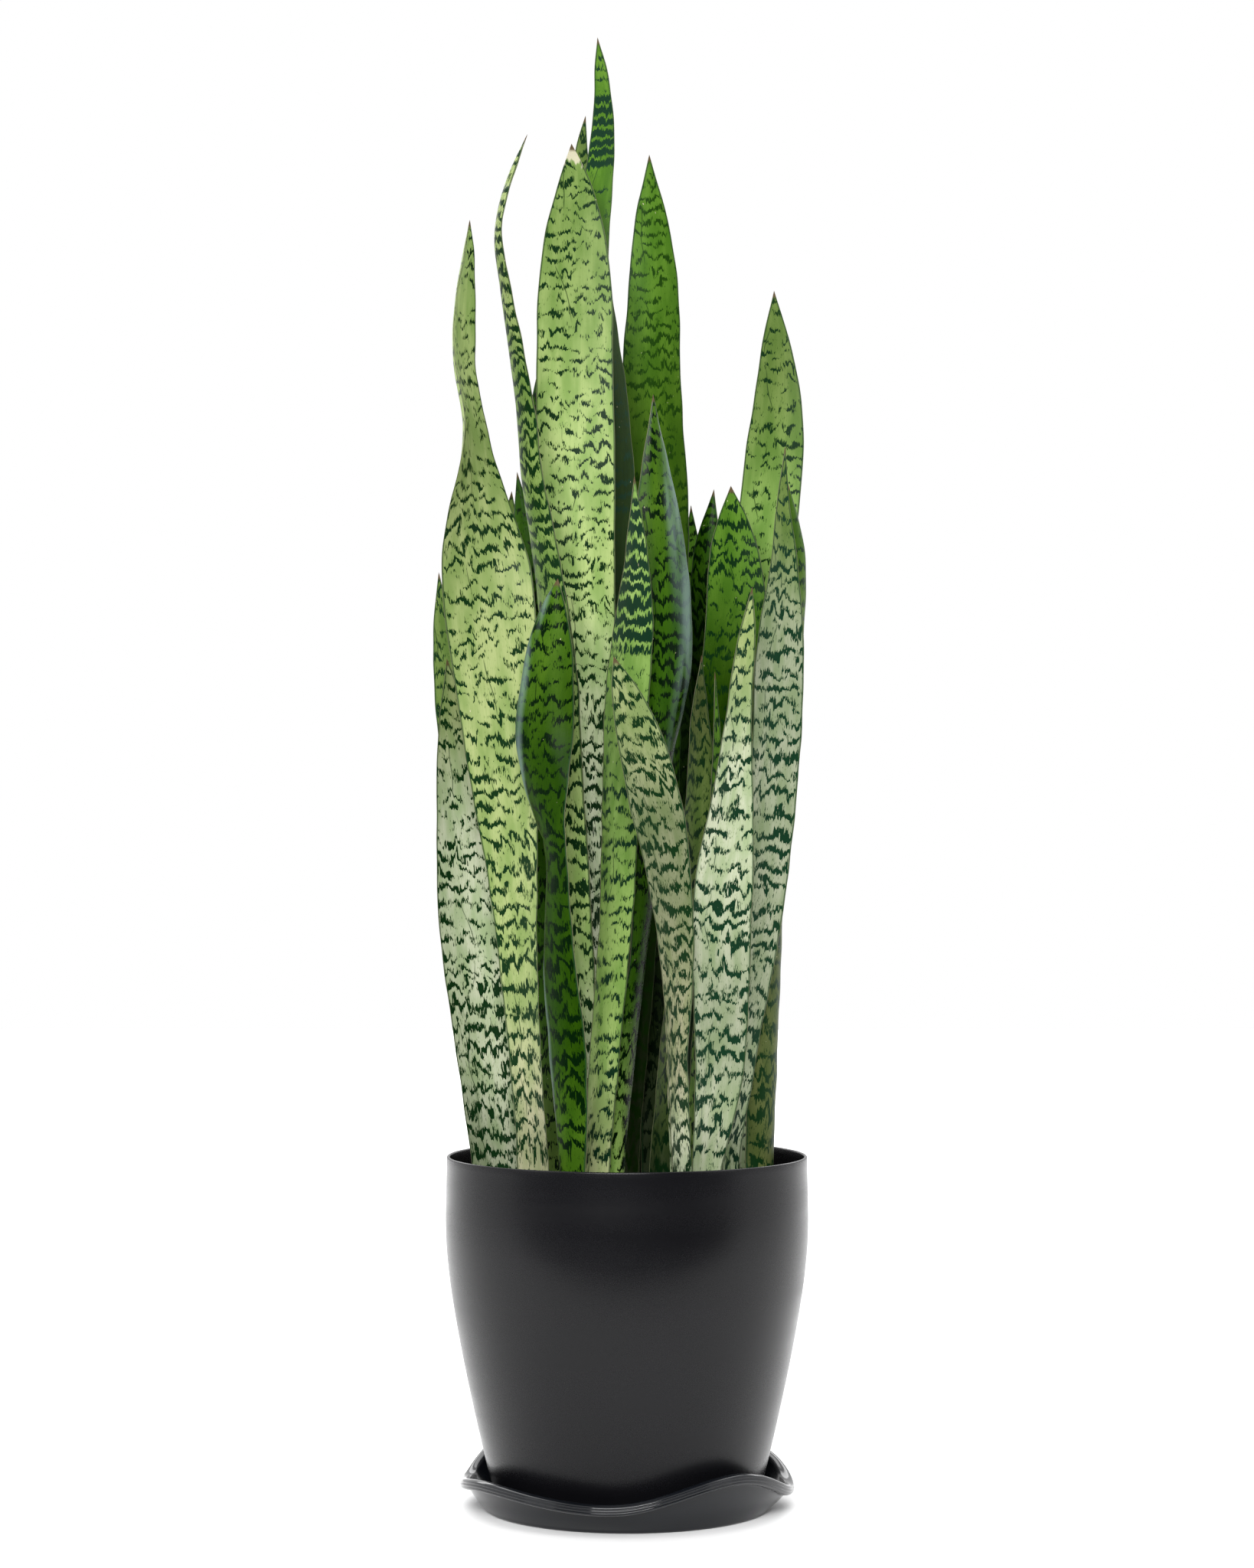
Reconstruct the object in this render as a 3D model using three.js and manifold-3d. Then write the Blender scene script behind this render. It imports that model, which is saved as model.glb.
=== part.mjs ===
// A snake plant (Sansevieria trifasciata) in a nursery pot on a saucer with a wavy rolled lip.
// Millimetres, +Z up. The origin is the middle of the saucer's underside, and -Y is the front.
import * as THREE from "three";
import { mergeVertices } from "three/addons/utils/BufferGeometryUtils.js";
import Module from "manifold-3d";

const wasm = await Module();
wasm.setup();

// Driving dimensions ---------------------------------------------------------------------------

// Gap kept between two pieces that touch.
const CONTACT_GAP = 0.3;
// The pot: a thin wall that falls straight from the rim and then curves in to the foot.
const POT_RIM_RADIUS = 127;
const POT_FOOT_RADIUS = 92;
const POT_RIM_HEIGHT = 247;
const POT_SHOULDER_DROP = 66;
const POT_WALL = 2.2;
const POT_BASE = 3;
const POT_TAPER_POWER = 1.3;
const DRAIN_HOLES = 8;
const DRAIN_HOLE_RADIUS = 6;
const DRAIN_RING_RADIUS = 62;
// The saucer: a flat floor, a leaning wall and a rolled lip whose height waves round the rim.
const SAUCER_FLOOR = 2.6;
const SAUCER_ROOM_ROUND_FOOT = 8;
const SAUCER_WALL = 2;
const SAUCER_WALL_LEAN = 9;
const SAUCER_LIP_OVERHANG = 7;
const SAUCER_LIP_THICKNESS = 8;
// The lip's top above the floor, as [degrees from the front towards +X, height].
const SAUCER_LIP_WAVES = [
  [-7, 22], [40, 38], [86, 18], [130, 33], [175, 22], [230, 37], [263, 20], [305, 28],
];
// The potting mix: it fills the pot to below the rim and is highest in the middle.
const SOIL_BELOW_RIM = 25;
const SOIL_CROWN = 5;
// The clump of leaves.
const PLANT_HEIGHT = 818;
const CLUMP_TO_WALL = 21.5;
const ROOTED_LENGTH = 24;
const LEAF_THICKNESS = 3;
const LEAF_BASE_SWELLING = 3.2;
const LEAF_SWELLING_REACH = 70;
const LEAF_TIP_ROUNDING = 14;
const BASE_CHANNEL = 0.1;

const LATHE_SIDES = 48;
const POT_CURVE_STEPS = 8;
const RINGS_PER_LEAF = 13;

// Leaves ---------------------------------------------------------------------------------------

const GREENS = {
  pale: "#a9bf7c",
  grey: "#b3c09c",
  bright: "#7ca63c",
  dark: "#3f6b2c",
  olive: "#6d8a45",
};

// Each leaf goes from its base to its tip as rows of [height above the soil, x, y, width, turn].
// At a turn of 0 the width runs along +X, and a turn of 90 degrees takes it round to +Y.
// channel is how deep the leaf is folded, as a share of its width: its hollow side is the front
// where it is positive and the back where it is negative.
const LEAVES = [
  {
    name: "leaf_left_tall_twisted", green: "pale", channel: 0.12,
    rows: [
      [20, -63, -46, 27, -42], [87, -68, -49, 30, -45], [172, -74, -49, 38, -43],
      [256, -80, -52, 50, -34], [325, -87, -55, 58, -22], [406, -94, -58, 63, -6],
      [456, -101, -64, 62, 36], [498, -105, -65, 57, 60], [526, -106, -66, 51, 74],
      [561, -113, -66, 45, 74], [614, -113, -66, 36, 70], [645, -110, -66, 23, 72],
      [673, -108, -66, 0, 72],
    ],
  },
  {
    name: "leaf_thin_twisting", green: "pale", channel: -0.14,
    rows: [
      [20, -26, -36, 22, -55], [129, -32, -38, 28, -50], [267, -44, -42, 36, -43],
      [410, -53, -44, 37, -55], [490, -67, -45, 35, -64], [553, -73, -45, 32, -68],
      [617, -83, -45, 28, -78], [670, -89, -45, 24, -86], [702, -82, -45, 17, -80],
      [736, -69, -45, 0, -80],
    ],
  },
  {
    name: "leaf_centre_broad", green: "pale", channel: 0.1,
    rows: [
      [17, -16, -10, 28, -48], [170, -22, -11, 38, -43], [299, -28, -12, 48, -26],
      [439, -34, -12, 54, -13], [557, -37, -12, 55, 8], [633, -37, -12, 53, 12],
      [676, -37, -12, 42, 14], [708, -37, -12, 25, 20], [736, -39, -12, 0, 20],
    ],
  },
  {
    name: "leaf_back_split_tip", green: "olive", channel: 0.1,
    rows: [
      [12, -21, 48, 26, 54], [246, -25, 54, 40, 46], [467, -31, 60, 44, 39],
      [633, -34, 62, 38, 38], [710, -34, 62, 24, 38], [749, -33, 62, 10, 36],
      [771, -30, 62, 0, 36],
    ],
  },
  {
    name: "leaf_tallest", green: "bright", channel: 0.12,
    rows: [
      [15, -10, 14, 28, -49], [169, -10, 17, 38, -42], [355, -9, 20, 48, -40],
      [507, -11, 20, 50, -42], [583, -16, 20, 48, -49], [627, -20, 20, 44, -54],
      [657, -23, 20, 40, -52], [700, -22, 20, 34, -42], [747, -16, 20, 21, -37],
      [790, -18, 20, 12, -30], [818, -21, 20, 0, -30],
    ],
  },
  {
    name: "leaf_right_tall_dark", green: "dark", channel: 0.12,
    rows: [
      [13, 2, 38, 28, -54], [246, 12, 40, 44, -39], [465, 23, 42, 52, -27],
      [575, 19, 42, 48, -29], [641, 20, 42, 40, -24], [691, 18, 42, 26, -24],
      [739, 16, 42, 0, -24],
    ],
  },
  {
    name: "leaf_right_back_spotted", green: "dark", channel: -0.12,
    rows: [
      [10, 23, 60, 26, 40], [246, 24, 65, 40, 40], [423, 24, 70, 46, 34],
      [512, 27, 70, 42, 36], [562, 30, 70, 28, 38], [617, 31, 70, 0, 38],
    ],
  },
  {
    name: "leaf_centre_right_dark", green: "dark", channel: -0.12,
    rows: [
      [20, -8, -45, 26, 57], [108, 2, -45, 32, 70], [172, 10, -44, 36, 74],
      [235, 16, -46, 42, 63], [299, 18, -51, 46, 48], [373, 25, -52, 48, 25],
      [425, 24, -52, 44, 20], [478, 22, -52, 32, 24], [515, 20, -52, 18, 32],
      [555, 18, -52, 0, 32],
    ],
  },
  {
    name: "leaf_front_banded", green: "bright", channel: 0.14,
    rows: [
      [23, -23, -72, 26, 53], [110, -17, -76, 34, 54], [194, -10, -83, 38, 54],
      [267, -7, -83, 42, 52], [350, -2, -86, 43, 46], [402, 3, -87, 38, 47],
      [444, 5, -87, 24, 52], [495, 5, -87, 0, 52],
    ],
  },
  {
    name: "leaf_front_left_broad", green: "dark", channel: -0.12,
    rows: [
      [25, -39, -88, 26, -50], [100, -42, -90, 33, -41], [173, -49, -93, 38, -57],
      [233, -50, -95, 40, -69], [277, -57, -94, 42, -50], [326, -57, -91, 42, -18],
      [366, -54, -91, 36, -14], [402, -51, -91, 21, -18], [425, -47, -91, 0, -18],
    ],
  },
  {
    name: "leaf_far_left_back", green: "olive", channel: 0.12,
    rows: [
      [13, -84, 34, 20, -49], [191, -108, 38, 27, -40], [328, -125, 38, 26, -38],
      [394, -131, 38, 20, -38], [439, -135, 38, 0, -38],
    ],
  },
  {
    name: "leaf_far_left_low", green: "grey", channel: 0.16,
    rows: [
      [17, -93, -8, 36, 26], [106, -102, -7, 44, 25], [192, -109, -6, 52, 18],
      [256, -113, -5, 48, 22], [310, -119, -5, 36, 26], [375, -127, -5, 0, 26],
    ],
  },
  {
    name: "leaf_front_folded", green: "pale", channel: 0.14,
    rows: [
      [25, 35, -97, 24, 60], [101, 32, -101, 28, 62], [163, 32, -105, 34, 48],
      [225, 26, -108, 38, 38], [282, 16, -110, 39, 22], [323, 6, -112, 33, 24],
      [349, -2, -112, 21, 28], [371, -9, -112, 0, 28],
    ],
  },
  {
    name: "leaf_back_left_outer", green: "olive", channel: 0.12,
    rows: [
      [11, -67, 52, 24, 53], [246, -83, 66, 36, 30], [412, -89, 76, 32, 24],
      [467, -86, 76, 18, 26], [501, -84, 76, 0, 26],
    ],
  },
  {
    name: "leaf_back_left_inner", green: "dark", channel: -0.12,
    rows: [
      [15, -56, 4, 24, -54], [246, -65, 6, 34, -20], [410, -72, 9, 30, -14],
      [465, -73, 10, 18, -14], [508, -78, 10, 0, -14],
    ],
  },
  {
    name: "leaf_back_centre", green: "dark", channel: 0.12,
    rows: [
      [13, -42, 32, 26, 20], [246, -50, 30, 40, -8], [436, -55, 30, 36, -10],
      [539, -57, 26, 28, -12], [572, -57, 25, 18, -12], [605, -58, 25, 0, -12],
    ],
  },
  {
    name: "leaf_right_tall_pale", green: "pale", channel: 0.12,
    rows: [
      [16, 80, 6, 24, 60], [138, 86, 15, 34, 40], [300, 91, 23, 44, 26],
      [436, 96, 25, 44, 16], [517, 104, 27, 44, 14], [563, 107, 27, 35, 14],
      [604, 106, 27, 20, 18], [639, 105, 27, 0, 18],
    ],
  },
  {
    name: "leaf_right_grey", green: "grey", channel: 0.14,
    rows: [
      [20, 69, -41, 25, 64], [119, 80, -48, 34, 48], [204, 91, -53, 40, 35],
      [293, 100, -58, 40, 32], [377, 104, -60, 38, 26], [435, 107, -60, 24, 34],
      [478, 107, -60, 12, 38], [518, 109, -60, 0, 38],
    ],
  },
  {
    name: "leaf_right_mid_broad", green: "olive", channel: 0.1,
    rows: [
      [17, 51, -8, 26, 50], [192, 58, -11, 38, 24], [326, 68, -12, 42, 20],
      [407, 76, -11, 44, 14], [450, 75, -11, 36, 12], [477, 74, -11, 18, 14],
      [496, 73, -11, 0, 14],
    ],
  },
  {
    name: "leaf_front_right_pale", green: "grey", channel: 0.14,
    rows: [
      [23, 53, -72, 25, 40], [89, 62, -75, 35, 22], [204, 64, -82, 43, 16],
      [285, 71, -92, 32, 34], [347, 76, -95, 21, 38], [386, 81, -96, 13, 26],
      [419, 85, -96, 0, 26],
    ],
  },
  {
    name: "leaf_back_right_inner", green: "dark", channel: 0.12,
    rows: [
      [10, 40, 72, 24, -40], [246, 46, 86, 32, -24], [413, 49, 98, 24, -20],
      [463, 48, 100, 12, -20], [493, 47, 100, 0, -20],
    ],
  },
  {
    name: "leaf_back_right_outer", green: "dark", channel: -0.12,
    rows: [
      [12, 64, 46, 24, -55], [246, 66, 54, 38, -24], [384, 62, 60, 36, -18],
      [456, 58, 62, 22, -20], [501, 63, 62, 0, -20],
    ],
  },
  {
    name: "leaf_inner_shaded", green: "olive", channel: 0.12,
    rows: [
      [21, 22, -50, 26, 52], [140, 33, -46, 32, 58], [235, 46, -43, 34, 51],
      [299, 50, -36, 28, 47], [336, 50, -34, 17, 46], [376, 52, -34, 0, 46],
    ],
  },
  {
    name: "leaf_young_sliver", green: "bright", channel: 0.14,
    rows: [
      [20, 44, -38, 16, 48], [193, 56, -48, 18, 45], [299, 62, -44, 11, 47],
      [364, 61, -42, 0, 47],
    ],
  },
  {
    name: "leaf_far_right", green: "olive", channel: -0.14,
    rows: [
      [18, 95, -19, 26, 46], [139, 98, -21, 33, 46], [246, 101, -26, 38, 46],
      [379, 111, -32, 38, 43], [438, 115, -32, 28, 34], [470, 114, -32, 17, 35],
      [496, 112, -32, 0, 35],
    ],
  },
];

// Sizes that follow from the driving dimensions ------------------------------------------------

const potBottom = SAUCER_FLOOR + CONTACT_GAP;
const potFloor = potBottom + POT_BASE;
const potShoulder = POT_RIM_HEIGHT - POT_SHOULDER_DROP;
const soilBottom = potFloor + CONTACT_GAP;
const soilTop = POT_RIM_HEIGHT - SOIL_BELOW_RIM;

// The pot's outer radius at a height: straight above the shoulder, curving in below it.
function potRadius(height) {
  const fall = Math.max(0, (potShoulder - height) / (potShoulder - potBottom));
  return POT_RIM_RADIUS - (POT_RIM_RADIUS - POT_FOOT_RADIUS) * fall ** POT_TAPER_POWER;
}

function soilRadius(height) {
  return potRadius(height) - POT_WALL - CONTACT_GAP;
}

// The leaf rows are stretched so that the clump fits the pot and the tallest leaf its height.
const tableSpread = Math.max(...LEAVES.map(({ rows }) => Math.hypot(rows[0][1], rows[0][2])));
const tableHeight = Math.max(...LEAVES.map(({ rows }) => rows.at(-1)[0]));
const spread = (soilRadius(soilTop) - CLUMP_TO_WALL) / tableSpread;
const rise = PLANT_HEIGHT / tableHeight;

// Solids ---------------------------------------------------------------------------------------

// A profile of [radius, height] points turned round the Z axis.
function turned(profile, sides = LATHE_SIDES) {
  const points = profile.map(([radius, height]) => new THREE.Vector2(radius, height));
  return new THREE.LatheGeometry(points, sides).rotateX(Math.PI / 2);
}

function solid(geometry) {
  const bare = geometry.clone().deleteAttribute("normal").deleteAttribute("uv");
  const merged = mergeVertices(bare, 1e-3);
  return new wasm.Manifold(
    new wasm.Mesh({
      numProp: 3,
      vertProperties: merged.attributes.position.array,
      triVerts: new Uint32Array(merged.index.array),
    }),
  );
}

function geometryOf(manifold) {
  const mesh = manifold.getMesh();
  const geometry = new THREE.BufferGeometry();
  geometry.setAttribute("position", new THREE.BufferAttribute(mesh.vertProperties, 3));
  geometry.setIndex(new THREE.BufferAttribute(mesh.triVerts, 1));
  return geometry;
}

// Evenly spaced heights from low to high, both ends included.
function heights(low, high, steps) {
  return Array.from({ length: steps + 1 }, (_, i) => low + ((high - low) * i) / steps);
}

function pot() {
  const outside = [
    ...heights(potBottom, potShoulder, POT_CURVE_STEPS),
    POT_RIM_HEIGHT,
  ].map((height) => [potRadius(height), height]);
  const inside = [
    POT_RIM_HEIGHT,
    ...heights(potFloor, potShoulder, POT_CURVE_STEPS).reverse(),
  ].map((height) => [potRadius(height) - POT_WALL, height]);
  let body = solid(turned([[0, potBottom], ...outside, ...inside, [0, potFloor]]));
  for (let i = 0; i < DRAIN_HOLES; i += 1) {
    const angle = (2 * Math.PI * i) / DRAIN_HOLES;
    const hole = new THREE.CylinderGeometry(DRAIN_HOLE_RADIUS, DRAIN_HOLE_RADIUS, 3 * POT_BASE, 16)
      .rotateX(Math.PI / 2)
      .translate(
        DRAIN_RING_RADIUS * Math.cos(angle),
        DRAIN_RING_RADIUS * Math.sin(angle),
        potBottom + POT_BASE / 2,
      );
    body = body.subtract(solid(hole));
  }
  return geometryOf(body);
}

// The height of the saucer's lip at an angle, eased from one hand-set crest or dip to the next.
function lipHeight(degrees) {
  const first = SAUCER_LIP_WAVES[0];
  const round = [...SAUCER_LIP_WAVES, [first[0] + 360, first[1]]];
  const angle = first[0] + THREE.MathUtils.euclideanModulo(degrees - first[0], 360);
  const next = round.findIndex(([at]) => at > angle);
  const [from, low] = round[next - 1];
  const [to, high] = round[next];
  const share = (angle - from) / (to - from);
  return low + (high - low) * (0.5 - 0.5 * Math.cos(Math.PI * share));
}

function saucer() {
  const half = SAUCER_LIP_THICKNESS / 2;
  const innerFloor = POT_FOOT_RADIUS + SAUCER_ROOM_ROUND_FOOT;
  const base = innerFloor + SAUCER_WALL;
  const wall = base + SAUCER_WALL_LEAN;
  const inner = wall - SAUCER_WALL;
  const lip = wall + SAUCER_LIP_OVERHANG;
  const lipMiddle = (lip + inner) / 2;
  // Each point is [radius, height] on the level part, or [radius, depth below the lip's top, true].
  const profile = [
    [0, 0],
    [base - SAUCER_FLOOR, 0],
    [base, SAUCER_FLOOR],
    [wall, SAUCER_LIP_THICKNESS, true],
    [lip - half / 2, SAUCER_LIP_THICKNESS, true],
    [lip, 1.5 * half, true],
    [lip, half / 2, true],
    [lip - half / 2, 0, true],
    [lipMiddle, 0, true],
    [inner, half / 2, true],
    [inner, SAUCER_LIP_THICKNESS, true],
    [innerFloor, SAUCER_FLOOR],
    [0, SAUCER_FLOOR],
  ];
  const geometry = turned(profile);
  const position = geometry.getAttribute("position");
  for (let i = 0; i < position.count; i += 1) {
    const [, height, waves] = profile[i % profile.length];
    const degrees = THREE.MathUtils.radToDeg(Math.atan2(position.getX(i), -position.getY(i)));
    position.setZ(i, waves ? lipHeight(degrees) - height : height);
  }
  return geometry;
}

// The leaf's outline at one height, as 8 points anticlockwise seen from above: the hollow or
// front face from the left margin to the right one, then the back face.
function leafSection([height, x, y, width, turn], channel) {
  const swelling = LEAF_BASE_SWELLING * Math.exp(-Math.max(0, height) / LEAF_SWELLING_REACH);
  const rounding = Math.min(1, width / LEAF_TIP_ROUNDING);
  const thickness = (LEAF_THICKNESS + swelling) * rounding;
  const fold = channel + Math.sign(channel) * BASE_CHANNEL * (swelling / LEAF_BASE_SWELLING);
  const angle = THREE.MathUtils.degToRad(turn);
  const point = (across, side) => {
    const along = across * (width / 2) * spread;
    const bend = fold * width * (0.4 - across * across);
    const depth = bend + side * (thickness / 2) * (1 - 0.4 * across * across);
    return new THREE.Vector3(
      x * spread + along * Math.cos(angle) - depth * Math.sin(angle),
      y * spread + along * Math.sin(angle) + depth * Math.cos(angle),
      soilTop + height,
    );
  };
  return [
    point(-1, 0), point(-0.55, -1), point(0, -1), point(0.55, -1),
    point(1, 0), point(0.55, 1), point(0, 1), point(-0.55, 1),
  ];
}

// An outline moved outwards by a gap: each corner goes out to where its two moved edges meet.
function grown(outline, gap) {
  return outline.map((corner, i) => {
    const before = outline.at(i - 1);
    const after = outline[(i + 1) % outline.length];
    const outwards = (from, to) => new THREE.Vector2(to.y - from.y, from.x - to.x).normalize();
    const first = outwards(before, corner);
    const second = outwards(corner, after);
    const reach = gap / (1 + first.dot(second));
    return corner.clone().add(new THREE.Vector3(
      (first.x + second.x) * reach,
      (first.y + second.y) * reach,
      0,
    ));
  });
}

// A closed skin over horizontal rings of 8 points, with a flat bottom and a flat or pointed top.
// Its front and back split each quad along the same diagonal, so a twist never makes them cross.
function skinned(rings, apex) {
  const sides = rings[0].length;
  const points = rings.flat();
  const last = (rings.length - 1) * sides;
  const faces = [];
  for (let ring = 0; ring < rings.length - 1; ring += 1) {
    for (let i = 0; i < sides; i += 1) {
      const low = ring * sides + i;
      const next = ring * sides + ((i + 1) % sides);
      if (i < sides / 2) {
        faces.push([low, next, next + sides], [low, next + sides, low + sides]);
      } else {
        faces.push([low, next, low + sides], [next, next + sides, low + sides]);
      }
    }
  }
  const flatBottom = [[0, 7, 1], [7, 6, 1], [1, 6, 2], [6, 5, 2], [2, 5, 3], [5, 4, 3]];
  faces.push(...flatBottom);
  if (apex) {
    points.push(apex);
    for (let i = 0; i < sides; i += 1) {
      faces.push([last + i, last + ((i + 1) % sides), points.length - 1]);
    }
  } else {
    faces.push(...flatBottom.map(([a, b, c]) => [last + a, last + c, last + b]));
  }
  const geometry = new THREE.BufferGeometry().setFromPoints(points);
  geometry.setIndex(faces.flat());
  return geometry;
}

// The part of a leaf in the soil is straight and vertical, below its first row.
function rootedRows(rows, extra = 0) {
  const [height, ...rest] = rows[0];
  return [[-ROOTED_LENGTH - extra, ...rest], [height, ...rest]];
}

function leaf({ rows, channel }) {
  const risen = rows.map(([height, ...rest]) => [height * rise, ...rest]);
  const path = new THREE.CatmullRomCurve3(risen.map(([h, x, y]) => new THREE.Vector3(x, y, h)));
  const shape = new THREE.CatmullRomCurve3(
    risen.map(([, , , width, turn]) => new THREE.Vector3(width, turn, 0)),
  );
  const rings = [leafSection(rootedRows(risen)[0], channel)];
  for (let i = 0; i < RINGS_PER_LEAF; i += 1) {
    const share = i / RINGS_PER_LEAF;
    const at = path.getPoint(share);
    const { x: width, y: turn } = shape.getPoint(share);
    rings.push(leafSection([at.z, at.x, at.y, width, turn], channel));
  }
  const [height, x, y] = risen.at(-1);
  const apex = new THREE.Vector3(x * spread, y * spread, soilTop + height);
  return skinned(rings, apex);
}

// The soil: it follows the pot's inside, and each leaf stands in a socket of its own shape.
function soil() {
  const side = heights(soilBottom, soilTop - SOIL_CROWN, POT_CURVE_STEPS);
  const profile = side.map((height) => [soilRadius(height), height]);
  const crown = [0.75, 0.5, 0.25].map((share) => [
    share * soilRadius(soilTop),
    soilTop - SOIL_CROWN * share * share,
  ]);
  let body = solid(turned([[0, soilBottom], ...profile, ...crown, [0, soilTop]]));
  for (const { rows, channel } of LEAVES) {
    const risen = rows.map(([height, ...rest]) => [height * rise, ...rest]);
    const [low, high] = rootedRows(risen, CONTACT_GAP);
    const rings = [low, high].map((row) => grown(leafSection(row, channel), CONTACT_GAP));
    body = body.subtract(solid(skinned(rings)));
  }
  return geometryOf(body);
}

// The plant ------------------------------------------------------------------------------------

const plant = new THREE.Group();

function add(name, geometry, color, roughness) {
  const material = new THREE.MeshStandardMaterial({ color, roughness, metalness: 0 });
  const mesh = new THREE.Mesh(geometry, material);
  mesh.name = name;
  plant.add(mesh);
}

add("saucer", saucer(), "#2a2c2f", 0.25);
add("pot", pot(), "#3c3c3f", 0.5);
add("soil", soil(), "#3a2c22", 0.95);
for (const spec of LEAVES) {
  add(spec.name, leaf(spec), GREENS[spec.green], 0.45);
}

export default plant;
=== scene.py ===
"""A snake plant in a black nursery pot on a saucer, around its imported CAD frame.

Every leaf is rebuilt finely from the level rings of its CAD solid, the pot and the saucer are
turned from the CAD profiles, and the potting mix is a crumbly surface inside the pot. Lengths
are in metres, except where a name or a comment says millimetres.
"""
import math

import bmesh
import bpy
import numpy as np
from mathutils import Matrix, Vector


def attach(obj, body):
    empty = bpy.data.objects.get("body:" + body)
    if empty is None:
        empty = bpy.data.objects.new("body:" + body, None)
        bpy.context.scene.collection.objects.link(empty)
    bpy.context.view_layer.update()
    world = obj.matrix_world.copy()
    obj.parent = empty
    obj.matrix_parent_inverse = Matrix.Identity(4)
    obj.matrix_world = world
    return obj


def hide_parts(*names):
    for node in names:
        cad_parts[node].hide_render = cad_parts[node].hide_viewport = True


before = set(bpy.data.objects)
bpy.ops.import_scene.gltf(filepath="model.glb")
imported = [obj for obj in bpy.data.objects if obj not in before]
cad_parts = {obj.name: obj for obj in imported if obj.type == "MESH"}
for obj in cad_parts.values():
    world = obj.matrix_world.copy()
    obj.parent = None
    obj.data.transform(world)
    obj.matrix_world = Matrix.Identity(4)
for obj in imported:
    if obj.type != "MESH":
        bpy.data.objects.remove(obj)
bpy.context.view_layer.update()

MM = 0.001

# Leaves ---------------------------------------------------------------------------------------

LEVEL_TOLERANCE = 0.1 * MM
# A skin has a ring of SECTION_POINTS every STATION_STEP, and closer ones near the tip.
STATION_STEP = 4 * MM
TIP_STATION_STEP = 1.2 * MM
TIP_REACH = 36 * MM
LAST_STATION_TO_TIP = 0.5 * MM
SECTION_POINTS = 40
MARGIN_THICKNESS = 0.9 * MM
LEAST_THICKNESS = 1.1 * MM
AWN_LENGTH = 7 * MM
AWN_WIDTH = 1.5 * MM
# Each margin stands this much further out at the base, fading away over the reach.
BASE_SWELL = 1.7 * MM
BASE_REACH = 240 * MM
# How far a margin waves within the leaf's plane and out of it, where the leaf is wide enough.
OUTLINE_WAVE = 0.25 * MM
MARGIN_WAVE = 0.6 * MM
FULL_WAVE_WIDTH = 14 * MM

# Linear colours of the leaf tissue under white light, except the painted shade and painted light
# noted below.
# IVORY is the pale cream of a leaf's base, made lighter than that as painted light where
# neighbouring leaves shade it.
IVORY = (0.64, 0.67, 0.50)
CREAM = (0.46, 0.50, 0.34)
BUTTER = (0.50, 0.55, 0.27)
GREY = (0.36, 0.42, 0.26)
ASH = (0.29, 0.32, 0.215)
STRAW = (0.38, 0.37, 0.23)
BUFF = (0.32, 0.31, 0.19)
DRAB = (0.19, 0.21, 0.115)
SAGE = (0.26, 0.31, 0.13)
PALE = (0.38, 0.49, 0.175)
LIME = (0.30, 0.45, 0.12)
MEADOW = (0.31, 0.375, 0.145)
SPRING = (0.19, 0.28, 0.075)
FRESH = (0.20, 0.33, 0.075)
OLIVE = (0.125, 0.19, 0.045)
BROWNED = (0.085, 0.105, 0.032)
GREEN = (0.090, 0.200, 0.019)
LEAFY = (0.055, 0.125, 0.008)
DEEP = (0.030, 0.090, 0.003)
BOTTLE = (0.017, 0.052, 0.001)
# The next two colours are painted shade: dark colours that stand for the shade low on leaves deep
# in the clump.
GREY_PAINTED_SHADE = (0.045, 0.062, 0.028)
PAINTED_SHADE = (0.012, 0.032, 0.003)
INK = (0.004, 0.025, 0.005)
BLUE_INK = (0.005, 0.030, 0.012)
SOFT_INK = (0.013, 0.048, 0.003)
BLACK_INK = (0.001, 0.009, 0.001)
# A painted reflection: the bluish glint of a softbox along a dark leaf's margin.
PAINTED_REFLECTION_TINT = (0.25, 0.35, 0.33)
MARGIN_GREEN = (0.016, 0.050, 0.016)
DRY_EDGE = (0.22, 0.20, 0.12)
DRY_TISSUE = (0.62, 0.58, 0.42)
DRY_AWN = (0.10, 0.07, 0.035)
SCAR = (0.55, 0.50, 0.34)
# What mottling multiplies the tissue's colour by.
LIGHTER = (1.16, 1.13, 1.2)
DARKER = (0.66, 0.78, 0.6)
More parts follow.
